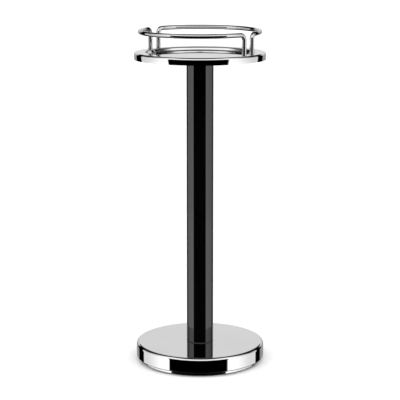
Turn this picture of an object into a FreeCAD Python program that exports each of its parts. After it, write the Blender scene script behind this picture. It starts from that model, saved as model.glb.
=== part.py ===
import FreeCAD, Part
import math
import os

# A floor stand that holds a wine cooler at table height. Millimetres, +Z up.
# The origin is on the floor at the centre of the base. Two half-ring rails
# stand on the tray: front_rail on the -Y side and rear_rail on the +Y side,
# with the gaps between them on the X axis.

Vector = FreeCAD.Vector
UP = Vector(0, 0, 1)

# Overall sizes
total_height = 600.0          # floor to the top of the rails
base_diameter = 231.0
base_height = 34.5            # floor to the top of the base shell
tray_diameter = 232.0
tray_depth = 12.8             # tray rim to the tray's underside
column_diameter = 48.0

# Base shell, a drawn steel cover
shell_sheet = 1.2
shell_edge_round = 5.3        # outer radius between the top and the skirt
shell_skirt_round = 2.0       # outer radius where the skirt turns in

# Plinth, a pressed steel pan that closes the base from below
plinth_inset = 7.5            # plinth wall inside the shell's skirt
plinth_height = 7.4           # floor to the lower edge of the skirt
plinth_sheet = 1.2
plinth_round = 1.2
plinth_overlap = 5.0          # wall hidden behind the skirt
plinth_foot_width = 10.0      # flat foot all round the pan
plinth_recess = 3.0           # pan floor above that foot
floor_gap = 1.0               # plinth foot above the floor
lip_clearance = 0.3           # skirt's turned-in lip to the plinth wall

# Ballast, a cast iron disc with a raised hub
ballast_clearance = 0.5
ballast_thickness = 13.0
ballast_hub_diameter = 70.0
ballast_round = 2.0
nut_well_diameter = 32.0
nut_well_depth = 13.8

# Rubber feet under the plinth
foot_count = 4
foot_diameter = 22.0
foot_chamfer = 1.0
foot_margin = 2.0             # foot to the plinth's step

# Column, a moulded tube on two centring spigots
column_wall = 3.0
column_edge_round = 0.4
gasket_thickness = 1.0
gasket_width = 2.8
spigot_clearance = 0.15
lower_spigot_height = 30.0
lower_spigot_core_diameter = 24.0
lower_spigot_web = 8.0        # solid floor of the lower spigot
upper_spigot_height = 26.0
spigot_chamfer = 1.5

# Tie rod and what tightens it
tie_rod_diameter = 10.0
tie_rod_clearance = 0.5
tie_rod_chamfer = 1.0
tie_rod_tail = 1.8            # rod showing past the nut
washer_diameter = 20.0
washer_thickness = 2.0
lock_washer_diameter = 18.0
lock_washer_thickness = 2.2
lock_washer_slit = 1.2
nut_across_flats = 16.0
nut_height = 8.0

# Tray, a drawn dish closed by a pressed underplate
tray_sheet = 1.2
tray_edge_round = 4.4         # outer radius of the tray's top edge
rim_width = 21.0              # tray edge to the recess
rim_edge_round = 2.4          # radius at the top of the recess wall
recess_depth = 6.1
recess_lean = 3.5             # foot of the recess wall in from its top
recess_floor_round = 1.6
underplate_sheet = 1.2
underplate_clearance = 0.3
underplate_wall = 5.0
underplate_round = 2.0
stiffener_diameter = 160.0

# Hub, a flanged and threaded boss under the tray
flange_thickness = 4.0
flange_margin = 10.0          # screw circle to the flange's edge
flange_edge_round = 1.0
boss_diameter = 28.0
boss_length = 30.0
boss_chamfer = 1.0
rod_to_boss_end = 2.0         # tie rod short of the tray's underside

# Rails, bent from round rod
rail_rise = 39.2              # tray rim to the top of the rails
rail_rod_diameter = 8.0
rail_inset = 11.0             # ring centreline inside the tray's edge
rail_bend_radius = 8.5        # centreline radius at the top of each leg
rail_leg_spacing = 22.4       # between the two rails' legs, centre to centre
rail_foot_chamfer = 0.4
rail_thread_depth = 14.0

# Screws: thread and head diameters, head height, hexagon socket
m4_thread = 4.0
m4_head = 7.6
m4_head_height = 2.4
m4_socket = 2.5
m4_washer_diameter = 9.0
m4_washer_thickness = 0.8
m4_engagement = 12.0
m5_thread = 5.0
m5_head = 9.0
m5_head_height = 2.6
m5_socket = 3.0
m5_washer_diameter = 10.0
m5_washer_thickness = 1.0
m5_engagement = 8.0
screw_hole_clearance = 0.25   # radial, where a screw passes through
screw_head_round = 1.0
screw_tip_chamfer = 0.5
socket_depth_share = 0.6      # of the head's height
thread_end_gap = 0.5          # screw tip to the far side of its hole
plinth_screw_count = 4
plinth_screw_circle = 110.0
hub_screw_count = 4
hub_screw_margin = 6.0        # column to the heads of the hub's screws

# Levels, from the floor up
base_radius = base_diameter / 2
shell_underside = base_height - shell_sheet
plinth_floor_under = floor_gap + plinth_recess
plinth_floor_top = plinth_floor_under + plinth_sheet
nut_well_top = plinth_floor_top + nut_well_depth
washer_bottom = nut_well_top - washer_thickness
lock_washer_bottom = washer_bottom - lock_washer_thickness
nut_bottom = lock_washer_bottom - nut_height
tie_rod_bottom = nut_bottom - tie_rod_tail
tray_rim = total_height - rail_rise
tray_underside = tray_rim - tray_depth
recess_floor = tray_rim - recess_depth
recess_floor_under = recess_floor - tray_sheet
rim_under = tray_rim - tray_sheet
flange_underside = tray_underside - flange_thickness
column_bottom = base_height + gasket_thickness
column_top = flange_underside - gasket_thickness
rail_ring_level = total_height - rail_rod_diameter / 2

# Radii
plinth_radius = base_radius - plinth_inset
plinth_step_radius = plinth_radius - plinth_foot_width
ballast_radius = plinth_radius - plinth_sheet - ballast_clearance
nut_well_radius = nut_well_diameter / 2
foot_circle_radius = plinth_step_radius - foot_margin - foot_diameter / 2
column_radius = column_diameter / 2
column_bore_radius = column_radius - column_wall
spigot_radius = column_bore_radius - spigot_clearance
tie_rod_radius = tie_rod_diameter / 2
tie_rod_hole_radius = tie_rod_radius + tie_rod_clearance
boss_radius = boss_diameter / 2
tray_radius = tray_diameter / 2
recess_radius = tray_radius - rim_width
underplate_radius = tray_radius - tray_sheet - underplate_clearance
hub_screw_radius = column_radius + hub_screw_margin + m5_washer_diameter / 2
flange_radius = hub_screw_radius + flange_margin
rail_radius = tray_radius - rail_inset
rail_rod_radius = rail_rod_diameter / 2
m4_hole_radius = m4_thread / 2 + screw_hole_clearance
m5_hole_radius = m5_thread / 2 + screw_hole_clearance

# Where the ring's arc ends and each leg stands: the bend leaves the ring
# along its tangent, so the leg is a little further out than the ring.
rail_leg_radius = math.hypot(rail_radius, rail_bend_radius)
rail_leg_angle = math.degrees(math.asin(rail_leg_spacing / 2 / rail_leg_radius))
rail_end_angle = rail_leg_angle + math.degrees(math.atan2(rail_bend_radius, rail_radius))


# Turned and pressed shapes

def rounded_outline(corners):
    """Closed outline in the XZ plane; each corner is (radius, height, rounding)."""
    count = len(corners)
    starts = []
    ends = []
    edges = []
    for index in range(count):
        r, z, rounding = corners[index]
        here = Vector(r, 0, z)
        before = Vector(corners[index - 1][0], 0, corners[index - 1][1])
        after = Vector(corners[(index + 1) % count][0], 0, corners[(index + 1) % count][1])
        if rounding <= 0:
            starts.append(here)
            ends.append(here)
            continue
        back = (before - here).normalize()
        ahead = (after - here).normalize()
        half_angle = back.getAngle(ahead) / 2
        bisector = (back + ahead).normalize()
        centre = here + bisector * (rounding / math.sin(half_angle))
        reach = rounding / math.tan(half_angle)
        starts.append(here + back * reach)
        ends.append(here + ahead * reach)
        edges.append(Part.Arc(starts[-1], centre - bisector * rounding, ends[-1]).toShape())
    for index in range(count):
        run_start = ends[index - 1]
        run_end = starts[index]
        edges.append(Part.LineSegment(run_start, run_end).toShape())
    return Part.Wire(Part.__sortEdges__(edges))


def turned(corners):
    """Solid of revolution about Z from an outline of (radius, height, rounding)."""
    return Part.Face(rounded_outline(corners)).revolve(Vector(0, 0, 0), UP, 360)


def pressed(skin, sheet):
    """Round pressing whose outer skin is an open path, the metal on its right."""
    inner = []
    last = len(skin) - 1
    for index, (r, z, rounding) in enumerate(skin):
        here = Vector(r, 0, z)
        normals = []
        for first, second in ((index - 1, index), (index, index + 1)):
            if first < 0 or second > last:
                continue
            run = Vector(skin[second][0] - skin[first][0], 0, skin[second][1] - skin[first][1])
            run.normalize()
            normals.append(Vector(run.z, 0, -run.x))
        if len(normals) == 1:
            moved = here + normals[0] * sheet
            inner.append((moved.x, moved.z, 0))
            continue
        into, out_of = normals
        moved = here + (into + out_of) * (sheet / (1 + into.dot(out_of)))
        turns_left = into.z * out_of.x - into.x * out_of.z > 0
        inner_round = rounding + sheet if turns_left else rounding - sheet
        inner.append((moved.x, moved.z, inner_round))
    return turned(list(skin) + inner[::-1])


def ring(outer_radius, inner_radius, bottom, top, rounding=0.0):
    """Plain ring about Z with its outer edges rounded."""
    return turned([
        (inner_radius, bottom, 0),
        (outer_radius, bottom, rounding),
        (outer_radius, top, rounding),
        (inner_radius, top, 0),
    ])


def cylinder(radius, bottom, top, x=0.0, y=0.0):
    return Part.makeCylinder(radius, top - bottom, Vector(x, y, bottom), UP)


def hexagon(across_flats, bottom, top):
    """Hexagonal prism about Z."""
    corner_radius = across_flats / 2 / math.cos(math.pi / 6)
    corners = []
    for step in range(6):
        angle = step * math.pi / 3
        corners.append(Vector(corner_radius * math.cos(angle), corner_radius * math.sin(angle), bottom))
    corners.append(corners[0])
    return Part.Face(Part.makePolygon(corners)).extrude(UP * (top - bottom))


# Patterns

def circle_places(count, radius, first_angle):
    """Evenly spaced (x, y) places on a circle about Z, angles in degrees."""
    places = []
    for step in range(count):
        angle = math.radians(first_angle + 360.0 * step / count)
        places.append((radius * math.cos(angle), radius * math.sin(angle)))
    return places


def rail_leg_places():
    """The four rail feet, two either side of each gap."""
    places = []
    for gap_angle in (0.0, 180.0):
        for offset in (-rail_leg_angle, rail_leg_angle):
            angle = math.radians(gap_angle + offset)
            places.append((rail_leg_radius * math.cos(angle), rail_leg_radius * math.sin(angle)))
    return places


FOOT_PLACES = circle_places(foot_count, foot_circle_radius, 45.0)
PLINTH_SCREW_PLACES = circle_places(plinth_screw_count, plinth_screw_circle / 2, 0.0)
HUB_SCREW_PLACES = circle_places(hub_screw_count, hub_screw_radius, 45.0)
RAIL_LEG_PLACES = rail_leg_places()


def copies(shape, places):
    """One compound of separate solids, a copy of the shape at each place."""
    solids = []
    for x, y in places:
        solids.append(shape.translated(Vector(x, y, 0)))
    return Part.makeCompound(solids)


def drilled(shape, places, radius, bottom, top):
    """The shape with an upright hole at each place."""
    holes = [cylinder(radius, bottom, top, x, y) for x, y in places]
    return shape.cut(Part.makeCompound(holes))


# Fasteners, each with its head below and its thread upwards

def socket_screw(thread, head, head_height, socket, seat, length):
    """Button-head screw; its head seats at the given level."""
    body = turned([
        (0, seat - head_height, 0),
        (head / 2, seat - head_height, screw_head_round),
        (head / 2, seat, 0),
        (thread / 2, seat, 0),
        (thread / 2, seat + length - screw_tip_chamfer, 0),
        (thread / 2 - screw_tip_chamfer, seat + length, 0),
        (0, seat + length, 0),
    ])
    pocket_top = seat - head_height * (1 - socket_depth_share)
    return body.cut(hexagon(socket, seat - head_height, pocket_top))


def hexagon_nut():
    """Hexagon nut on the tie rod, with its corners chamfered at both faces."""
    top = nut_bottom + nut_height
    corner_radius = nut_across_flats / 2 / math.cos(math.pi / 6)
    corner_drop = corner_radius - nut_across_flats / 2
    barrel = turned([
        (tie_rod_radius, nut_bottom, 0),
        (nut_across_flats / 2, nut_bottom, 0),
        (corner_radius, nut_bottom + corner_drop / 2, 0),
        (corner_radius, top - corner_drop / 2, 0),
        (nut_across_flats / 2, top, 0),
        (tie_rod_radius, top, 0),
    ])
    return barrel.common(hexagon(nut_across_flats, nut_bottom, top))


def split_washer():
    """Spring lock washer with its slit."""
    body = ring(lock_washer_diameter / 2, tie_rod_radius, lock_washer_bottom, washer_bottom)
    slit = Part.makeBox(
        lock_washer_diameter,
        lock_washer_slit,
        lock_washer_thickness,
        Vector(0, -lock_washer_slit / 2, lock_washer_bottom),
    )
    return body.cut(slit)


# Base

def base_shell():
    return pressed([
        (tie_rod_hole_radius, base_height, 0),
        (base_radius, base_height, shell_edge_round),
        (base_radius, plinth_height, shell_skirt_round),
        (plinth_radius + lip_clearance, plinth_height, 0),
    ], shell_sheet)


def base_plinth():
    pan = pressed([
        (plinth_radius, plinth_height + plinth_overlap, 0),
        (plinth_radius, floor_gap, plinth_round),
        (plinth_step_radius, floor_gap, plinth_sheet / 2),
        (plinth_step_radius, plinth_floor_under, plinth_sheet * 1.5),
        (nut_well_radius, plinth_floor_under, 0),
    ], plinth_sheet)
    return drilled(pan, PLINTH_SCREW_PLACES, m5_hole_radius, plinth_floor_under, plinth_floor_top)


def ballast_disc():
    hub_radius = ballast_hub_diameter / 2
    disc_top = plinth_floor_top + ballast_thickness
    disc = turned([
        (nut_well_radius, plinth_floor_top, 0),
        (ballast_radius, plinth_floor_top, ballast_round),
        (ballast_radius, disc_top, ballast_round),
        (hub_radius, disc_top, ballast_round),
        (hub_radius, shell_underside, ballast_round),
        (tie_rod_hole_radius, shell_underside, 0),
        (tie_rod_hole_radius, nut_well_top, 0),
        (nut_well_radius, nut_well_top, 0),
    ])
    hole_top = plinth_floor_top + m5_engagement + thread_end_gap
    return drilled(disc, PLINTH_SCREW_PLACES, m5_thread / 2, plinth_floor_top, hole_top)


def foot_pads():
    radius = foot_diameter / 2
    pad = turned([
        (0, 0, 0),
        (radius - foot_chamfer, 0, 0),
        (radius, foot_chamfer, 0),
        (radius, plinth_floor_under, 0),
        (0, plinth_floor_under, 0),
    ])
    return copies(pad, FOOT_PLACES)


def plinth_screws():
    length = plinth_sheet + m5_engagement
    screw = socket_screw(m5_thread, m5_head, m5_head_height, m5_socket, plinth_floor_under, length)
    return copies(screw, PLINTH_SCREW_PLACES)


# Column and tie rod

def gasket(bottom):
    return ring(column_radius, column_radius - gasket_width, bottom, bottom + gasket_thickness)


def lower_spigot():
    core_radius = lower_spigot_core_diameter / 2
    top = base_height + lower_spigot_height
    web_top = base_height + lower_spigot_web
    return turned([
        (tie_rod_hole_radius, base_height, 0),
        (spigot_radius, base_height, 0),
        (spigot_radius, top - spigot_chamfer, 0),
        (spigot_radius - spigot_chamfer, top, 0),
        (core_radius, top, 0),
        (core_radius, web_top, 0),
        (tie_rod_hole_radius, web_top, 0),
    ])


def upper_spigot():
    bottom = column_top - upper_spigot_height
    return turned([
        (boss_radius, bottom, 0),
        (spigot_radius - spigot_chamfer, bottom, 0),
        (spigot_radius, bottom + spigot_chamfer, 0),
        (spigot_radius, column_top, 0),
        (boss_radius, column_top, 0),
    ])


def column_tube():
    return ring(column_radius, column_bore_radius, column_bottom, column_top, column_edge_round)


def tie_rod():
    top = tray_underside - rod_to_boss_end
    return turned([
        (0, tie_rod_bottom, 0),
        (tie_rod_radius - tie_rod_chamfer, tie_rod_bottom, 0),
        (tie_rod_radius, tie_rod_bottom + tie_rod_chamfer, 0),
        (tie_rod_radius, top - tie_rod_chamfer, 0),
        (tie_rod_radius - tie_rod_chamfer, top, 0),
        (0, top, 0),
    ])


def tie_rod_washer():
    return ring(washer_diameter / 2, tie_rod_hole_radius, washer_bottom, nut_well_top)


# Tray

def tray_hub():
    boss_bottom = flange_underside - boss_length
    hub = turned([
        (tie_rod_radius, boss_bottom, 0),
        (boss_radius - boss_chamfer, boss_bottom, 0),
        (boss_radius, boss_bottom + boss_chamfer, 0),
        (boss_radius, flange_underside, 0),
        (flange_radius, flange_underside, flange_edge_round),
        (flange_radius, tray_underside, 0),
        (tie_rod_radius, tray_underside, 0),
    ])
    return drilled(hub, HUB_SCREW_PLACES, m5_hole_radius, flange_underside, tray_underside)


def hub_screw_washers():
    washer = ring(
        m5_washer_diameter / 2,
        m5_hole_radius,
        flange_underside - m5_washer_thickness,
        flange_underside,
    )
    return copies(washer, HUB_SCREW_PLACES)


def hub_screws():
    seat = flange_underside - m5_washer_thickness
    length = recess_floor_under - thread_end_gap - seat
    screw = socket_screw(m5_thread, m5_head, m5_head_height, m5_socket, seat, length)
    return copies(screw, HUB_SCREW_PLACES)


def tray_underplate():
    plate = pressed([
        (underplate_radius, tray_underside + underplate_wall, 0),
        (underplate_radius, tray_underside, underplate_round),
        (tie_rod_hole_radius, tray_underside, 0),
    ], underplate_sheet)
    plate_top = tray_underside + underplate_sheet
    return drilled(plate, HUB_SCREW_PLACES, m5_hole_radius, tray_underside, plate_top)


def tray_stiffener():
    bottom = tray_underside + underplate_sheet
    disc = cylinder(stiffener_diameter / 2, bottom, recess_floor_under)
    return drilled(disc, HUB_SCREW_PLACES, m5_thread / 2, bottom, recess_floor_under)


def tray_dish():
    dish = pressed([
        (0, recess_floor, 0),
        (recess_radius - recess_lean, recess_floor, recess_floor_round),
        (recess_radius, tray_rim, rim_edge_round),
        (tray_radius, tray_rim, tray_edge_round),
        (tray_radius, tray_underside, 0),
    ], tray_sheet)
    return drilled(dish, RAIL_LEG_PLACES, m4_hole_radius, rim_under, tray_rim)


# Rails

def rod_section(centre, along):
    """Round rod section about a centre, square to a direction."""
    circle = Part.Circle(centre, along, rail_rod_radius)
    return Part.Face(Part.Wire(circle.toShape()))


def rail_end(angle, towards_ring):
    """Leg and bend at one end; towards_ring is +1 where the ring runs on anticlockwise."""
    outward = Vector(math.cos(angle), math.sin(angle), 0)
    tangent = Vector(-math.sin(angle), math.cos(angle), 0) * towards_ring
    ring_end = outward * rail_radius + UP * rail_ring_level
    leg_place = ring_end - tangent * rail_bend_radius
    bend_centre = ring_end - UP * rail_bend_radius
    bend = rod_section(ring_end, tangent).revolve(bend_centre, outward, 90.0 * towards_ring)
    leg_top = rail_ring_level - rail_bend_radius
    leg = Part.makeCone(
        rail_rod_radius - rail_foot_chamfer,
        rail_rod_radius,
        rail_foot_chamfer,
        Vector(leg_place.x, leg_place.y, tray_rim),
        UP,
    )
    shaft = cylinder(rail_rod_radius, tray_rim + rail_foot_chamfer, leg_top, leg_place.x, leg_place.y)
    thread = cylinder(m4_thread / 2, tray_rim, tray_rim + rail_thread_depth, leg_place.x, leg_place.y)
    return leg.fuse([shaft, bend]).cut(thread)


def rear_rail():
    start = math.radians(rail_end_angle)
    finish = math.pi - start
    section_centre = Vector(rail_radius * math.cos(start), rail_radius * math.sin(start), rail_ring_level)
    along = Vector(-math.sin(start), math.cos(start), 0)
    arc = rod_section(section_centre, along)
    arc = arc.revolve(Vector(0, 0, 0), UP, 180.0 - 2 * rail_end_angle)
    return arc.fuse([rail_end(start, 1), rail_end(finish, -1)]).removeSplitter()


def front_rail():
    return rear_rail().rotated(Vector(0, 0, 0), UP, 180)


def rail_washers():
    washer = ring(m4_washer_diameter / 2, m4_hole_radius, rim_under - m4_washer_thickness, rim_under)
    return copies(washer, RAIL_LEG_PLACES)


def rail_screws():
    seat = rim_under - m4_washer_thickness
    length = m4_washer_thickness + tray_sheet + m4_engagement
    screw = socket_screw(m4_thread, m4_head, m4_head_height, m4_socket, seat, length)
    return copies(screw, RAIL_LEG_PLACES)


NODES = {
    "base_shell": base_shell,
    "base_plinth": base_plinth,
    "ballast_disc": ballast_disc,
    "foot_pads": foot_pads,
    "plinth_screws": plinth_screws,
    "lower_gasket": lambda: gasket(base_height),
    "lower_spigot": lower_spigot,
    "column_tube": column_tube,
    "upper_spigot": upper_spigot,
    "upper_gasket": lambda: gasket(column_top),
    "tie_rod": tie_rod,
    "tie_rod_washer": tie_rod_washer,
    "tie_rod_lock_washer": split_washer,
    "tie_rod_nut": hexagon_nut,
    "tray_hub": tray_hub,
    "hub_screw_washers": hub_screw_washers,
    "hub_screws": hub_screws,
    "tray_underplate": tray_underplate,
    "tray_stiffener": tray_stiffener,
    "tray_dish": tray_dish,
    "front_rail": front_rail,
    "rear_rail": rear_rail,
    "rail_washers": rail_washers,
    "rail_screws": rail_screws,
}

os.makedirs("parts", exist_ok=True)
for node, make in NODES.items():
    shape = make()
    if not shape.isValid() or not shape.Solids:
        raise ValueError(node + " is not a valid solid")
    shape.exportStep("parts/" + node + ".step")
    print(node, len(shape.Solids), round(shape.Volume, 1))
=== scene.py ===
"""Floor stand for a wine cooler: polished base and tray, black column, bent rod rails.

Everything is in metres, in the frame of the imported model: +Z up, the origin on
the floor under the column, the gaps between the rails on the X axis.
"""

import math

import bmesh
import bpy
from bpy.props import FloatProperty, FloatVectorProperty, IntProperty, PointerProperty
from mathutils import Matrix, Vector


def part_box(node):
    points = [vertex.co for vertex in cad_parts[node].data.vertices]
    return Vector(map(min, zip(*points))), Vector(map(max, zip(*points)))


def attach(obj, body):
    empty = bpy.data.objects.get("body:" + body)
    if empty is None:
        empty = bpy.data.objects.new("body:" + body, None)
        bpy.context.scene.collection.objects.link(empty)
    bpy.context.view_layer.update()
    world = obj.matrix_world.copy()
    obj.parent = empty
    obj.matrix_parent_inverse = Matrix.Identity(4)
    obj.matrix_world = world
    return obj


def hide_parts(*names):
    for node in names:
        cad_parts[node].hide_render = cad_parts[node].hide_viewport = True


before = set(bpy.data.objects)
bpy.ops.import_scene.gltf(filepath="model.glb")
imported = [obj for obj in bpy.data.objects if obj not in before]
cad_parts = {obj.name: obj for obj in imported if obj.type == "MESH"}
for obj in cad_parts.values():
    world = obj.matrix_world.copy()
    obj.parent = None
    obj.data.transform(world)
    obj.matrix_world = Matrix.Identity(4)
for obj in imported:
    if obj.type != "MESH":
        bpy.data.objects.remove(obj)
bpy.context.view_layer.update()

bl_info = {
    "name": "Wine Cooler Stand",
    "version": (1, 0, 0),
    "blender": (4, 5, 0),
    "location": "View3D > Sidebar > Cooler Stand",
    "description": "Builds a floor stand for a wine cooler around its packed model",
    "category": "Add Mesh",
}

ORIGIN = Vector((0, 0, 0))
UP = Vector((0, 0, 1))
MILLIMETRE = 0.001
NEAR = 1e-6

# Faces of the rails: round the rod, along each bend and along the ring.
ROD_SIDES = 40
BEND_STEPS = 12
RING_STEPS = 120

# Stage, in metres: a floor wider than the horizon's dome, and the lamp's place over it.
FLOOR_RADIUS = 30.0
FLOOR_SIDES = 96
HORIZON_RADIUS = 29.0
LAMP_HEIGHT = 3.0
LAMP_SPREAD = math.radians(120.0)
OVERHEAD_LIGHT = 2.5
CAMERA_REACH = 100.0


def outer_radius(node):
    """Half a round node's width."""
    low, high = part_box(node)
    return (high.x - low.x) / 2


def level(node, top):
    """A node's highest level, or its lowest."""
    low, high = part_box(node)
    return high.z if top else low.z


def length_property(name, description, default_mm):
    """A size in metres, shown as a length."""
    return FloatProperty(
        name=name,
        description=description,
        default=default_mm * MILLIMETRE,
        min=0.0,
        unit="LENGTH",
        precision=4,
    )


def colour_property(name, description, default):
    return FloatVectorProperty(
        name=name, description=description, default=default, size=3, subtype="COLOR", min=0.0, max=1.0
    )


# Sizes and colours that a user would change

class StandSizes(bpy.types.PropertyGroup):
    """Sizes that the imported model's boxes don't show."""

    sheet: length_property("Sheet", "Thickness of the pressed steel", 1.2)
    shell_edge_round: length_property("Shell edge", "Radius of the base's top edge", 5.3)
    shell_skirt_round: length_property("Skirt edge", "Radius where the skirt turns in", 2.0)
    shell_hole_radius: length_property("Shell hole", "Radius of the tie rod's hole", 5.5)
    plinth_round: length_property("Plinth edge", "Radius of the plinth's lower edge", 1.2)
    plinth_foot_width: length_property("Plinth foot", "Width of the plinth's flat foot", 10.0)
    plinth_recess: length_property("Plinth recess", "Height of the plinth's floor over its foot", 3.0)
    nut_well_radius: length_property("Nut well", "Radius of the opening for the nut", 16.0)
    lip_clearance: length_property("Lip clearance", "Skirt's lip to the plinth's wall", 0.3)
    column_wall: length_property("Column wall", "Thickness of the moulded tube", 3.0)
    column_edge_round: length_property("Column edge", "Radius at the tube's ends", 0.4)
    tray_edge_round: length_property("Tray edge", "Radius of the tray's top edge", 4.4)
    rim_width: length_property("Rim width", "Tray's edge to its recess", 21.0)
    rim_edge_round: length_property("Rim edge", "Radius at the top of the recess wall", 2.4)
    recess_depth: length_property("Recess depth", "Depth of the tray's recess", 6.1)
    recess_lean: length_property("Recess lean", "Foot of the recess wall in from its top", 3.5)
    recess_floor_round: length_property("Recess corner", "Radius round the recess floor", 1.6)
    rail_rod_diameter: length_property("Rail rod", "Diameter of the rails' rod", 8.0)
    rail_inset: length_property("Rail inset", "Rail's centreline inside the tray's edge", 11.0)
    rail_bend_radius: length_property("Rail bend", "Centreline radius above each leg", 8.5)
    rail_leg_spacing: length_property("Leg spacing", "Between the two rails' legs", 22.4)
    rail_foot_chamfer: length_property("Leg chamfer", "Chamfer at the foot of a leg", 0.4)
    turn_steps: IntProperty(
        name="Turn steps", description="Faces round a turned piece", default=256, min=48, max=512
    )
    round_steps: IntProperty(
        name="Round steps", description="Faces across a rounded edge", default=10, min=2, max=24
    )


class StandFinishes(bpy.types.PropertyGroup):
    """Colours of the finishes."""

    steel: colour_property("Steel", "Polished stainless steel sheet", (0.65, 0.644, 0.65))
    # The rods' steel is the sheet's steel made darker: painted shade standing in for the dimmer
    # reflections along the rails.
    shaded_rods: colour_property("Rods", "Polished rod, a darker steel than the sheet", (0.5, 0.5, 0.505))
    mill_steel: colour_property("Mill steel", "Pressed steel out of sight", (0.32, 0.32, 0.33))
    column: colour_property("Column", "Black moulded plastic", (0.0012, 0.0012, 0.0012))
    rubber: colour_property("Rubber", "Feet and gaskets", (0.018, 0.018, 0.018))
    iron: colour_property("Iron", "Painted ballast casting", (0.035, 0.035, 0.037))
    zinc: colour_property("Zinc", "Plated fasteners", (0.62, 0.63, 0.65))
    nylon: colour_property("Nylon", "Spigots inside the column", (0.03, 0.03, 0.03))


class StudioSettings(bpy.types.PropertyGroup):
    """Camera and studio."""

    azimuth: FloatProperty(
        name="Azimuth", description="Camera's direction round the stand",
        default=math.radians(38.3), subtype="ANGLE",
    )
    distance: length_property("Distance", "Camera to the column, level with the floor", 2511.2)
    height: length_property("Height", "Camera above the floor", 799.8)
    tilt: FloatProperty(
        name="Tilt", description="Camera's downward tilt", default=0.1984, subtype="ANGLE"
    )
    lens: FloatProperty(name="Lens", description="Focal length", default=128.57, unit="CAMERA")


# Mesh tools

def circle_edges(bm, radius, height):
    """Edges of the circle about Z at a radius and a height."""
    ring = {
        v for v in bm.verts
        if abs(v.co.z - height) < NEAR and abs(v.co.to_2d().length - radius) < NEAR
    }
    return [e for e in bm.edges if e.verts[0] in ring and e.verts[1] in ring]


def round_off(bm, edges, radius, steps):
    """Rounds sharp edges off to a radius."""
    bmesh.ops.bevel(
        bm,
        geom=edges,
        offset=radius,
        offset_type="OFFSET",
        segments=steps,
        profile=0.5,
        affect="EDGES",
        material=-1,
        clamp_overlap=False,
    )


def turned(corners, closed):
    """Mesh turned about Z from corners of (radius, height, rounding)."""
    sizes = bpy.context.scene.stand_sizes
    bm = bmesh.new()
    verts = [bm.verts.new((r, 0, z)) for r, z, _ in corners]
    edges = [bm.edges.new(pair) for pair in zip(verts, verts[1:])]
    if closed:
        edges.append(bm.edges.new((verts[-1], verts[0])))
    bmesh.ops.spin(
        bm,
        geom=verts + edges,
        cent=ORIGIN,
        axis=UP,
        angle=math.tau,
        steps=sizes.turn_steps,
        use_merge=True,
    )
    bmesh.ops.remove_doubles(bm, verts=bm.verts, dist=1e-7)
    bmesh.ops.recalc_face_normals(bm, faces=bm.faces)
    for r, z, rounding in corners:
        if rounding > 0:
            round_off(bm, circle_edges(bm, r, z), rounding, sizes.round_steps)
    return bm


def add_piece(name, bm, material, replaces):
    """Makes the finished mesh a piece that rides on the stand."""
    for face in bm.faces:
        face.smooth = True
    mesh = bpy.data.meshes.new(name)
    bm.to_mesh(mesh)
    bm.free()
    mesh.materials.append(material)
    piece = bpy.data.objects.new(name, mesh)
    bpy.context.scene.collection.objects.link(piece)
    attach(piece, "root")
    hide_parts(*replaces)
    weighted = piece.modifiers.new("even_shading", "WEIGHTED_NORMAL")
    weighted.mode = "FACE_AREA"
    weighted.weight = 100
    weighted.keep_sharp = True
    return piece


def pressed(skin):
    """Sheet metal pressing: the outer skin is an open path of corners."""
    sheet = bpy.context.scene.stand_sizes.sheet
    bm = turned(skin, closed=False)
    bmesh.ops.solidify(bm, geom=bm.faces, thickness=sheet)
    return bm


# Materials

def colour_socket(sockets, name):
    """A mix node's socket for colours; it has others of the same name."""
    return next(s for s in sockets if s.name == name and s.type == "RGBA")


class Shader:
    """A material's node tree with short calls for the nodes used here."""

    def __init__(self, name):
        self.material = bpy.data.materials.new(name)
        self.material.use_nodes = True
        self.tree = self.material.node_tree
        self.surface = self.tree.nodes["Principled BSDF"]
        self.place = self.tree.nodes.new("ShaderNodeTexCoord").outputs["Object"]

    def node(self, kind, **values):
        made = self.tree.nodes.new(kind)
        for key, value in values.items():
            setattr(made, key, value)
        return made

    def link(self, source, target):
        self.tree.links.new(source, target)

    def stretched(self, scale):
        """Object coordinates scaled along each axis."""
        mapping = self.node("ShaderNodeMapping")
        mapping.inputs["Scale"].default_value = scale
        self.link(self.place, mapping.inputs["Vector"])
        return mapping.outputs["Vector"]

    def noise(self, scale, detail=3.0, place=None):
        made = self.node("ShaderNodeTexNoise")
        made.inputs["Scale"].default_value = scale
        made.inputs["Detail"].default_value = detail
        self.link(place or self.place, made.inputs["Vector"])
        return made.outputs["Fac"]

    def ranged(self, source, low, high, from_low=0.3, from_high=0.7):
        """The source's middle range spread from low to high."""
        made = self.node("ShaderNodeMapRange")
        made.inputs["From Min"].default_value = from_low
        made.inputs["From Max"].default_value = from_high
        made.inputs["To Min"].default_value = low
        made.inputs["To Max"].default_value = high
        self.link(source, made.inputs["Value"])
        return made.outputs["Result"]

    def blend(self, share, first, second):
        """Two colours mixed by a share."""
        made = self.node("ShaderNodeMix", data_type="RGBA")
        self.link(share, made.inputs["Factor"])
        colour_socket(made.inputs, "A").default_value = (*first, 1)
        colour_socket(made.inputs, "B").default_value = (*second, 1)
        return colour_socket(made.outputs, "Result")

    def bump(self, height, strength, distance):
        made = self.node("ShaderNodeBump")
        made.inputs["Strength"].default_value = strength
        made.inputs["Distance"].default_value = distance
        self.link(height, made.inputs["Height"])
        self.link(made.outputs["Normal"], self.surface.inputs["Normal"])

    def set(self, **values):
        for key, value in values.items():
            self.surface.inputs[key.replace("_", " ")].default_value = value


def shade(colour, factor):
    """A colour made lighter or darker."""
    return tuple(min(1.0, channel * factor) for channel in colour)


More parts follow.
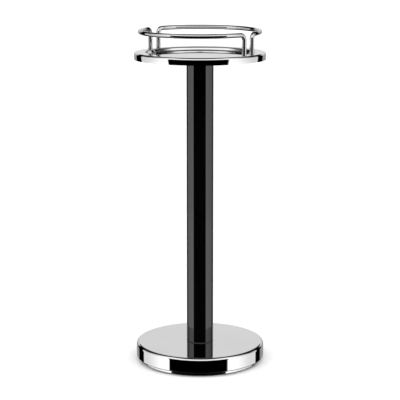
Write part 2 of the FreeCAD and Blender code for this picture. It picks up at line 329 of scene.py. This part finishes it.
def polished_steel(name, colour):
    """Mirror polish with faint polishing haze and the slow waviness of drawn metal."""
    shader = Shader(name)
    shader.set(Metallic=1.0)
    cloud = shader.noise(9.0, 2.0)
    tone = shader.blend(shader.ranged(cloud, 0.0, 1.0), shade(colour, 0.985), shade(colour, 1.015))
    shader.link(tone, shader.surface.inputs["Base Color"])
    haze = shader.noise(420.0, 4.0)
    shader.link(shader.ranged(haze, 0.012, 0.045), shader.surface.inputs["Roughness"])
    wave = shader.noise(60.0, 1.0)
    shader.bump(wave, 0.02, 0.0002)
    return shader.material


def mill_steel(name):
    """Pressed sheet as it leaves the mill, with a fine grain along Y."""
    colour = bpy.context.scene.stand_finishes.mill_steel
    shader = Shader(name)
    shader.set(Metallic=1.0)
    grain = shader.noise(260.0, 3.0, shader.stretched((6.0, 0.25, 6.0)))
    tone = shader.blend(shader.ranged(grain, 0.0, 1.0), shade(colour, 0.86), shade(colour, 1.1))
    shader.link(tone, shader.surface.inputs["Base Color"])
    shader.link(shader.ranged(grain, 0.26, 0.42), shader.surface.inputs["Roughness"])
    shader.bump(grain, 0.06, 0.0001)
    return shader.material


def black_plastic(name):
    """Glossy black moulding with a faint flow pattern along the tube."""
    colour = bpy.context.scene.stand_finishes.column
    shader = Shader(name)
    flow = shader.noise(90.0, 3.0, shader.stretched((1.0, 1.0, 0.08)))
    tone = shader.blend(shader.ranged(flow, 0.0, 1.0), shade(colour, 0.8), shade(colour, 1.3))
    shader.link(tone, shader.surface.inputs["Base Color"])
    haze = shader.noise(600.0, 3.0)
    shader.link(shader.ranged(haze, 0.03, 0.06), shader.surface.inputs["Roughness"])
    shader.set(IOR=1.62)
    shader.bump(flow, 0.015, 0.0002)
    return shader.material


def matt_compound(name, colour, rough, scale):
    """Rubber or nylon: a matt, slightly mottled and fine-grained surface."""
    shader = Shader(name)
    mottle = shader.noise(scale * 0.2, 3.0)
    tone = shader.blend(shader.ranged(mottle, 0.0, 1.0), shade(colour, 0.7), shade(colour, 1.4))
    shader.link(tone, shader.surface.inputs["Base Color"])
    grain = shader.noise(scale, 4.0)
    shader.link(shader.ranged(grain, rough - 0.1, rough + 0.08), shader.surface.inputs["Roughness"])
    shader.bump(grain, 0.25, 0.0002)
    return shader.material


def painted_iron(name):
    """Sand casting under a coat of black paint."""
    colour = bpy.context.scene.stand_finishes.iron
    shader = Shader(name)
    sand = shader.noise(340.0, 6.0)
    tone = shader.blend(shader.ranged(sand, 0.0, 1.0), shade(colour, 0.6), shade(colour, 1.5))
    shader.link(tone, shader.surface.inputs["Base Color"])
    shader.link(shader.ranged(sand, 0.45, 0.7), shader.surface.inputs["Roughness"])
    shader.bump(sand, 0.5, 0.0006)
    return shader.material


def zinc_plate(name):
    """Zinc plating with its cloudy, faintly blue and straw tints."""
    colour = bpy.context.scene.stand_finishes.zinc
    shader = Shader(name)
    shader.set(Metallic=1.0)
    cloud = shader.noise(170.0, 3.0)
    blue = (colour[0] * 0.94, colour[1] * 0.98, colour[2] * 1.05)
    straw = (colour[0] * 1.05, colour[1] * 1.02, colour[2] * 0.9)
    tone = shader.blend(shader.ranged(cloud, 0.0, 1.0), blue, straw)
    shader.link(tone, shader.surface.inputs["Base Color"])
    spangle = shader.noise(700.0, 2.0)
    shader.link(shader.ranged(spangle, 0.24, 0.42), shader.surface.inputs["Roughness"])
    shader.bump(spangle, 0.08, 0.0001)
    return shader.material


def cached_material(name, make):
    """The named material, made on its first use."""
    return bpy.data.materials.get(name) or make(name)


def steel():
    colour = bpy.context.scene.stand_finishes.steel
    return cached_material("mirror_steel", lambda name: polished_steel(name, colour))


# Polished steel in the darker rod colour: a copy of the sheet's steel with painted shade.
def shaded_rod_steel():
    colour = bpy.context.scene.stand_finishes.shaded_rods
    return cached_material("mirror_rod_shaded", lambda name: polished_steel(name, colour))


def plate():
    return cached_material("mill_steel", mill_steel)


def rubber():
    colour = bpy.context.scene.stand_finishes.rubber
    return cached_material("black_rubber", lambda name: matt_compound(name, colour, 0.72, 1500.0))


def nylon():
    colour = bpy.context.scene.stand_finishes.nylon
    return cached_material("black_nylon", lambda name: matt_compound(name, colour, 0.5, 900.0))


def finish_cad_node(node, material):
    """Gives a CAD node its finish."""
    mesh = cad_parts[node].data
    mesh.materials.clear()
    mesh.materials.append(material)


# Pieces

class STAND_OT_base(bpy.types.Operator):
    """Builds the polished base shell and the plinth under it"""

    bl_idname = "cooler_stand.base"
    bl_label = "Base"

    def execute(self, context):
        sizes = context.scene.stand_sizes
        base_radius = outer_radius("base_shell")
        base_top = level("base_shell", top=True)
        skirt = level("base_shell", top=False)
        plinth_radius = outer_radius("base_plinth")
        foot = level("base_plinth", top=False)
        shell = pressed([
            (sizes.shell_hole_radius, base_top, 0),
            (base_radius, base_top, sizes.shell_edge_round),
            (base_radius, skirt, sizes.shell_skirt_round),
            (plinth_radius + sizes.lip_clearance, skirt, 0),
        ])
        add_piece("base_cover", shell, steel(), ["base_shell"])
        step = plinth_radius - sizes.plinth_foot_width
        plinth = pressed([
            (plinth_radius, level("base_plinth", top=True), 0),
            (plinth_radius, foot, sizes.plinth_round),
            (step, foot, sizes.sheet / 2),
            (step, foot + sizes.plinth_recess, sizes.sheet * 1.5),
            (sizes.nut_well_radius, foot + sizes.plinth_recess, 0),
        ])
        add_piece("plinth_pan", plinth, steel(), ["base_plinth"])
        return {"FINISHED"}


class STAND_OT_column(bpy.types.Operator):
    """Builds the black column and the gaskets at its ends"""

    bl_idname = "cooler_stand.column"
    bl_label = "Column"

    def execute(self, context):
        sizes = context.scene.stand_sizes
        radius = outer_radius("column_tube")
        bottom = level("column_tube", top=False)
        top = level("column_tube", top=True)
        tube = turned([
            (radius - sizes.column_wall, bottom, 0),
            (radius, bottom, sizes.column_edge_round),
            (radius, top, sizes.column_edge_round),
            (radius - sizes.column_wall, top, 0),
        ], closed=True)
        material = cached_material("black_plastic", black_plastic)
        add_piece("column_sleeve", tube, material, ["column_tube"])
        for node in ("lower_gasket", "upper_gasket"):
            finish_cad_node(node, rubber())
        return {"FINISHED"}


class STAND_OT_tray(bpy.types.Operator):
    """Builds the polished dish of the tray"""

    bl_idname = "cooler_stand.tray"
    bl_label = "Tray"

    def execute(self, context):
        sizes = context.scene.stand_sizes
        radius = outer_radius("tray_dish")
        rim = level("tray_dish", top=True)
        recess_radius = radius - sizes.rim_width
        recess_floor = rim - sizes.recess_depth
        dish = pressed([
            (0, recess_floor, 0),
            (recess_radius - sizes.recess_lean, recess_floor, sizes.recess_floor_round),
            (recess_radius, rim, sizes.rim_edge_round),
            (radius, rim, sizes.tray_edge_round),
            (radius, level("tray_dish", top=False), 0),
        ])
        add_piece("tray_top", dish, steel(), ["tray_dish"])
        return {"FINISHED"}


def straight_run(bm, edges, move):
    """Extends a rod from its open end; returns the new end's edges."""
    grown = bmesh.ops.extrude_edge_only(bm, edges=edges)["geom"]
    verts = [item for item in grown if isinstance(item, bmesh.types.BMVert)]
    bmesh.ops.translate(bm, verts=verts, vec=move)
    return [item for item in grown if isinstance(item, bmesh.types.BMEdge)]


def bent_run(bm, edges, centre, axis, angle, steps):
    """Bends a rod on from its open end; returns the new end's edges."""
    verts = list({v for e in edges for v in e.verts})
    grown = bmesh.ops.spin(
        bm, geom=verts + edges, cent=centre, axis=axis, angle=angle, steps=steps
    )["geom_last"]
    return [item for item in grown if isinstance(item, bmesh.types.BMEdge)]


def half_ring_rail(side):
    """Rod rail with a leg at each end; side is +1 for the rear rail and -1 for the front."""
    sizes = bpy.context.scene.stand_sizes
    rod = sizes.rail_rod_diameter / 2
    bend = sizes.rail_bend_radius
    ring = outer_radius("tray_dish") - sizes.rail_inset
    rim = level("tray_dish", top=True)
    ring_level = level("rear_rail", top=True) - rod
    leg_radius = math.hypot(ring, bend)
    start = math.asin(sizes.rail_leg_spacing / 2 / leg_radius) + math.atan2(bend, ring)
    outward = Vector((math.cos(start), math.sin(start), 0))
    tangent = Vector((-math.sin(start), math.cos(start), 0))
    leg = outward * ring - tangent * bend
    leg_top = ring_level - bend
    bm = bmesh.new()
    foot = bmesh.ops.create_circle(
        bm, cap_ends=True, radius=rod, segments=ROD_SIDES, matrix=Matrix.Translation(leg + UP * rim)
    )["verts"]
    end = list({e for v in foot for e in v.link_edges})
    end = straight_run(bm, end, UP * (leg_top - rim))
    bend_centre = leg + tangent * bend + UP * leg_top
    end = bent_run(bm, end, bend_centre, outward, -math.pi / 2, BEND_STEPS)
    end = bent_run(bm, end, ORIGIN, UP, math.pi - 2 * start, RING_STEPS)
    mirrored = Vector((-outward.x, outward.y, 0))
    far_centre = Vector((-bend_centre.x, bend_centre.y, bend_centre.z))
    end = bent_run(bm, end, far_centre, mirrored, -math.pi / 2, BEND_STEPS)
    end = straight_run(bm, end, UP * (rim - leg_top))
    bmesh.ops.contextual_create(bm, geom=end)
    feet = circle_caps(bm, rim)
    round_off(bm, feet, sizes.rail_foot_chamfer, 1)
    if side < 0:
        bmesh.ops.rotate(bm, verts=bm.verts, cent=ORIGIN, matrix=Matrix.Rotation(math.pi, 3, "Z"))
    bmesh.ops.recalc_face_normals(bm, faces=bm.faces)
    return bm


def circle_caps(bm, height):
    """Edges round the flat ends that stand at a height."""
    return [e for e in bm.edges if all(abs(v.co.z - height) < NEAR for v in e.verts)]


class STAND_OT_rails(bpy.types.Operator):
    """Builds the two half-ring rails"""

    bl_idname = "cooler_stand.rails"
    bl_label = "Rails"

    def execute(self, context):
        add_piece("front_rod", half_ring_rail(-1), shaded_rod_steel(), ["front_rail"])
        add_piece("rear_rod", half_ring_rail(1), shaded_rod_steel(), ["rear_rail"])
        return {"FINISHED"}


class STAND_OT_hidden(bpy.types.Operator):
    """Gives the pieces inside and underneath their finishes"""

    bl_idname = "cooler_stand.hidden"
    bl_label = "Inner pieces"

    def execute(self, context):
        iron = cached_material("painted_iron", painted_iron)
        zinc = cached_material("zinc_plate", zinc_plate)
        finishes = (
            (iron, ("ballast_disc",)),
            (rubber(), ("foot_pads",)),
            (nylon(), ("lower_spigot", "upper_spigot")),
            (plate(), ("tray_underplate", "tray_hub", "tray_stiffener")),
            (zinc, (
                "tie_rod", "tie_rod_washer", "tie_rod_lock_washer", "tie_rod_nut",
                "plinth_screws", "hub_screws", "hub_screw_washers", "rail_screws", "rail_washers",
            )),
        )
        for material, nodes in finishes:
            for node in nodes:
                finish_cad_node(node, material)
        return {"FINISHED"}


# Studio

def compass(tree, place, toward, right):
    """Angle round the stand from the camera's side, 0 to 1 from behind round by the left."""
    parts = []
    for direction in (right, toward):
        dot = tree.nodes.new("ShaderNodeVectorMath")
        dot.operation = "DOT_PRODUCT"
        tree.links.new(place, dot.inputs[0])
        dot.inputs[1].default_value = direction
        parts.append(dot.outputs["Value"])
    angle = tree.nodes.new("ShaderNodeMath")
    angle.operation = "ARCTAN2"
    tree.links.new(parts[0], angle.inputs[0])
    tree.links.new(parts[1], angle.inputs[1])
    turn = tree.nodes.new("ShaderNodeMapRange")
    turn.inputs["From Min"].default_value = -math.pi
    turn.inputs["From Max"].default_value = math.pi
    tree.links.new(angle.outputs["Value"], turn.inputs["Value"])
    return turn.outputs["Result"]


def elevation(tree, place):
    """Angle above the horizon in degrees."""
    split = tree.nodes.new("ShaderNodeSeparateXYZ")
    tree.links.new(place, split.inputs["Vector"])
    rise = tree.nodes.new("ShaderNodeMath")
    rise.operation = "ARCSINE"
    tree.links.new(split.outputs["Z"], rise.inputs[0])
    degrees = tree.nodes.new("ShaderNodeMath")
    degrees.operation = "DEGREES"
    tree.links.new(rise.outputs["Value"], degrees.inputs[0])
    return degrees.outputs["Value"]


def around(tree, turn, stops):
    """Brightness round the studio from stops of (degrees from the camera, brightness)."""
    ramp = tree.nodes.new("ShaderNodeValToRGB")
    ramp.color_ramp.interpolation = "LINEAR"
    marks = ramp.color_ramp.elements
    marks.remove(marks[1])
    for index, (degrees, value) in enumerate(stops):
        position = (degrees + 180.0) / 360.0
        mark = marks[0] if index == 0 else marks.new(position)
        mark.position = position
        mark.color = (value, value, value, 1)
    tree.links.new(turn, ramp.inputs["Fac"])
    return ramp.outputs["Color"]


def step_between(tree, source, low, high):
    """0 below low, 1 above high, smooth between."""
    made = tree.nodes.new("ShaderNodeMapRange")
    made.interpolation_type = "SMOOTHSTEP"
    made.inputs["From Min"].default_value = low
    made.inputs["From Max"].default_value = high
    tree.links.new(source, made.inputs["Value"])
    return made.outputs["Result"]


def layered(tree, share, below, above):
    """Changes from one band to the next by a share."""
    mix = tree.nodes.new("ShaderNodeMix")
    mix.data_type = "RGBA"
    tree.links.new(share, mix.inputs["Factor"])
    tree.links.new(below, colour_socket(mix.inputs, "A"))
    tree.links.new(above, colour_socket(mix.inputs, "B"))
    return colour_socket(mix.outputs, "Result")


# What the polished steel sees, as brightness at angles round the stand from the
# camera's direction, rightward positive.  In front stands a black flag with a
# strip light over it.  Bright walls either side of it fade away from the camera.
# Behind a dark gap on each side hangs a grey backdrop, brightest in its middle.
FLAG_LEFT, FLAG_RIGHT = -57.0, 51.0
WALL_LEFT, WALL_RIGHT = -123.0, 120.5
BACKDROP_LEFT, BACKDROP_RIGHT = -146.0, 141.0
MIDDLE_LEFT, MIDDLE_RIGHT = -169.0, 169.0
EDGE = 0.7         # half the blur of an edge
MIDDLE_EDGE = 4.0  # the same for the backdrop's middle
FADE = (0.0, 18.0, 30.0, 42.0, 55.0)  # degrees beyond the flag

# Each band of heights: its top in degrees, then flag, wall at FADE, gap, backdrop, middle.
BANDS = (
    (-45.0, 0.0, (0.06, 0.06, 0.05, 0.05, 0.04), 0.02, 0.04, 0.04),
    (-24.0, 0.0, (0.6, 0.6, 0.55, 0.5, 0.4), 0.02, 0.1, 0.1),
    (-12.0, 0.0, (1.7, 1.6, 1.4, 1.2, 1.05), 0.0, 0.38, 0.38),
    (4.4, 0.0, (1.6, 1.45, 1.25, 1.1, 0.98), 0.0, 0.42, 0.42),
    (12.0, 0.0, (1.5, 1.4, 1.2, 1.0, 0.8), 0.0, 0.80, 0.83),
    (20.0, 0.0, (1.5, 1.4, 1.2, 1.0, 0.7), 0.0, 0.80, 0.92),
    (34.0, 1.4, (1.5, 1.4, 1.2, 0.8, 0.1), 0.0, 0.02, 0.60),
    (46.0, 1.4, (1.5, 1.5, 1.3, 0.5, 0.02), 0.0, 0.02, 0.30),
    (66.0, 1.4, (1.4, 1.4, 1.2, 0.3, 0.05), 0.05, 0.05, 0.05),
    (90.0, 0.05, (0.05, 0.05, 0.05, 0.05, 0.05), 0.05, 0.05, 0.05),
)
BAND_EDGE = 0.5    # half the blur between bands
BRIGHTEST = 2.0    # brightness of full white in the colour ramps


def band_stops(flag, wall, gap, backdrop, middle):
    """Stops round the studio for one band of heights."""
    stops = [(-180.0, middle), (MIDDLE_LEFT - MIDDLE_EDGE, middle)]
    stops += [(MIDDLE_LEFT + MIDDLE_EDGE, backdrop)]
    stops += [(BACKDROP_LEFT - EDGE, backdrop), (BACKDROP_LEFT + EDGE, gap)]
    stops += [(WALL_LEFT - EDGE, gap), (WALL_LEFT + EDGE, wall[-1])]
    stops += [(FLAG_LEFT - EDGE - away, value) for away, value in zip(FADE, wall)][::-1]
    stops += [(FLAG_LEFT + EDGE, flag), (FLAG_RIGHT - EDGE, flag)]
    stops += [(FLAG_RIGHT + EDGE + away, value) for away, value in zip(FADE, wall)]
    stops += [(WALL_RIGHT - EDGE, wall[-1]), (WALL_RIGHT + EDGE, gap)]
    stops += [(BACKDROP_RIGHT - EDGE, gap), (BACKDROP_RIGHT + EDGE, backdrop)]
    stops += [(MIDDLE_RIGHT - MIDDLE_EDGE, backdrop)]
    stops += [(MIDDLE_RIGHT + MIDDLE_EDGE, middle), (180.0, middle)]
    return [(degrees, value / BRIGHTEST) for degrees, value in stops]


def build_world(azimuth):
    """Studio seen in the polished steel, band over band from the floor to overhead."""
    world = bpy.data.worlds.new("studio")
    bpy.context.scene.world = world
    world.use_nodes = True
    tree = world.node_tree
    place = tree.nodes.new("ShaderNodeTexCoord").outputs["Generated"]
    toward = Vector((math.sin(azimuth), -math.cos(azimuth), 0))
    right = Vector((math.cos(azimuth), math.sin(azimuth), 0))
    turn = compass(tree, place, toward, right)
    rise = elevation(tree, place)
    colour = None
    start = -90.0
    for top, *values in BANDS:
        band = around(tree, turn, band_stops(*values))
        if colour is None:
            colour = band
        else:
            share = step_between(tree, rise, start - BAND_EDGE, start + BAND_EDGE)
            colour = layered(tree, share, colour, band)
        start = top
    background = tree.nodes["Background"]
    tree.links.new(colour, background.inputs["Color"])
    background.inputs["Strength"].default_value = BRIGHTEST


def stage_object(name, bm, material):
    """Makes a mesh part of the studio."""
    mesh = bpy.data.meshes.new(name)
    bm.to_mesh(mesh)
    bm.free()
    mesh.materials.append(material)
    made = bpy.data.objects.new(name, mesh)
    bpy.context.scene.collection.objects.link(made)
    made.visible_glossy = False
    return made


def floor_paint():
    """Plain pale floor."""
    shader = Shader("studio_floor")
    cloud = shader.noise(0.7, 2.0)
    tone = shader.blend(shader.ranged(cloud, 0.0, 1.0), (0.86, 0.86, 0.86), (0.88, 0.88, 0.88))
    shader.link(tone, shader.surface.inputs["Base Color"])
    shader.set(Roughness=0.9, Specular_IOR_Level=0.0)
    return shader.material


def horizon_glow():
    """Plain white glow beyond the floor."""
    material = bpy.data.materials.new("studio_horizon")
    material.use_nodes = True
    tree = material.node_tree
    tree.nodes.remove(tree.nodes["Principled BSDF"])
    glow = tree.nodes.new("ShaderNodeEmission")
    glow.inputs["Color"].default_value = (1, 1, 1, 1)
    glow.inputs["Strength"].default_value = 1.0
    tree.links.new(glow.outputs["Emission"], tree.nodes["Material Output"].inputs["Surface"])
    return material


def build_stage():
    """Floor, and a glowing horizon that only the camera sees."""
    bm = bmesh.new()
    bmesh.ops.create_circle(bm, cap_ends=True, radius=FLOOR_RADIUS, segments=FLOOR_SIDES)
    stage_object("floor", bm, floor_paint())
    bm = bmesh.new()
    bmesh.ops.create_icosphere(bm, subdivisions=4, radius=HORIZON_RADIUS)
    horizon = stage_object("horizon", bm, horizon_glow())
    horizon.visible_diffuse = False
    horizon.visible_shadow = False
    horizon.visible_transmission = False


def build_lamp():
    """Broad soft light from overhead, not mirrored in the steel."""
    lamp = bpy.data.lights.new("overhead", "SUN")
    lamp.angle = LAMP_SPREAD
    lamp.energy = OVERHEAD_LIGHT
    light = bpy.data.objects.new("overhead", lamp)
    light.location = (0, 0, LAMP_HEIGHT)
    light.visible_glossy = False
    bpy.context.scene.collection.objects.link(light)


def build_camera(studio):
    """Camera at its direction, distance and height from the stand."""
    data = bpy.data.cameras.new("camera")
    data.lens = studio.lens
    data.clip_end = CAMERA_REACH
    camera = bpy.data.objects.new("camera", data)
    away = Vector((math.sin(studio.azimuth), -math.cos(studio.azimuth), 0))
    camera.location = away * studio.distance + UP * studio.height
    camera.rotation_euler = (math.pi / 2 - studio.tilt, 0, studio.azimuth)
    bpy.context.scene.collection.objects.link(camera)
    bpy.context.scene.camera = camera


class STAND_OT_studio(bpy.types.Operator):
    """Builds the camera, floor, backdrop and soft light"""

    bl_idname = "cooler_stand.studio"
    bl_label = "Studio"

    def execute(self, context):
        studio = context.scene.studio_settings
        build_world(studio.azimuth)
        build_stage()
        build_lamp()
        build_camera(studio)
        context.scene.view_settings.view_transform = "Standard"
        return {"FINISHED"}


class STAND_PT_panel(bpy.types.Panel):
    """Lists the stand's pieces and sizes"""

    bl_label = "Wine Cooler Stand"
    bl_idname = "STAND_PT_panel"
    bl_space_type = "VIEW_3D"
    bl_region_type = "UI"
    bl_category = "Cooler Stand"

    def draw(self, context):
        layout = self.layout
        for operator in OPERATORS:
            layout.operator(operator.bl_idname)
        for name, _ in GROUPS:
            group = getattr(context.scene, name)
            box = layout.box()
            for key in group.bl_rna.properties.keys():
                if key not in ("rna_type", "name"):
                    box.prop(group, key)


OPERATORS = (
    STAND_OT_studio,
    STAND_OT_base,
    STAND_OT_column,
    STAND_OT_tray,
    STAND_OT_rails,
    STAND_OT_hidden,
)
GROUPS = (
    ("stand_sizes", StandSizes),
    ("stand_finishes", StandFinishes),
    ("studio_settings", StudioSettings),
)


def register():
    for name, group in GROUPS:
        bpy.utils.register_class(group)
        setattr(bpy.types.Scene, name, PointerProperty(type=group))
    for operator in OPERATORS:
        bpy.utils.register_class(operator)
    bpy.utils.register_class(STAND_PT_panel)


def unregister():
    bpy.utils.unregister_class(STAND_PT_panel)
    for operator in reversed(OPERATORS):
        bpy.utils.unregister_class(operator)
    for name, group in reversed(GROUPS):
        delattr(bpy.types.Scene, name)
        bpy.utils.unregister_class(group)


def main():
    register()
    bpy.ops.cooler_stand.studio()
    bpy.ops.cooler_stand.base()
    bpy.ops.cooler_stand.column()
    bpy.ops.cooler_stand.tray()
    bpy.ops.cooler_stand.rails()
    bpy.ops.cooler_stand.hidden()


if __name__ == "__main__":
    main()
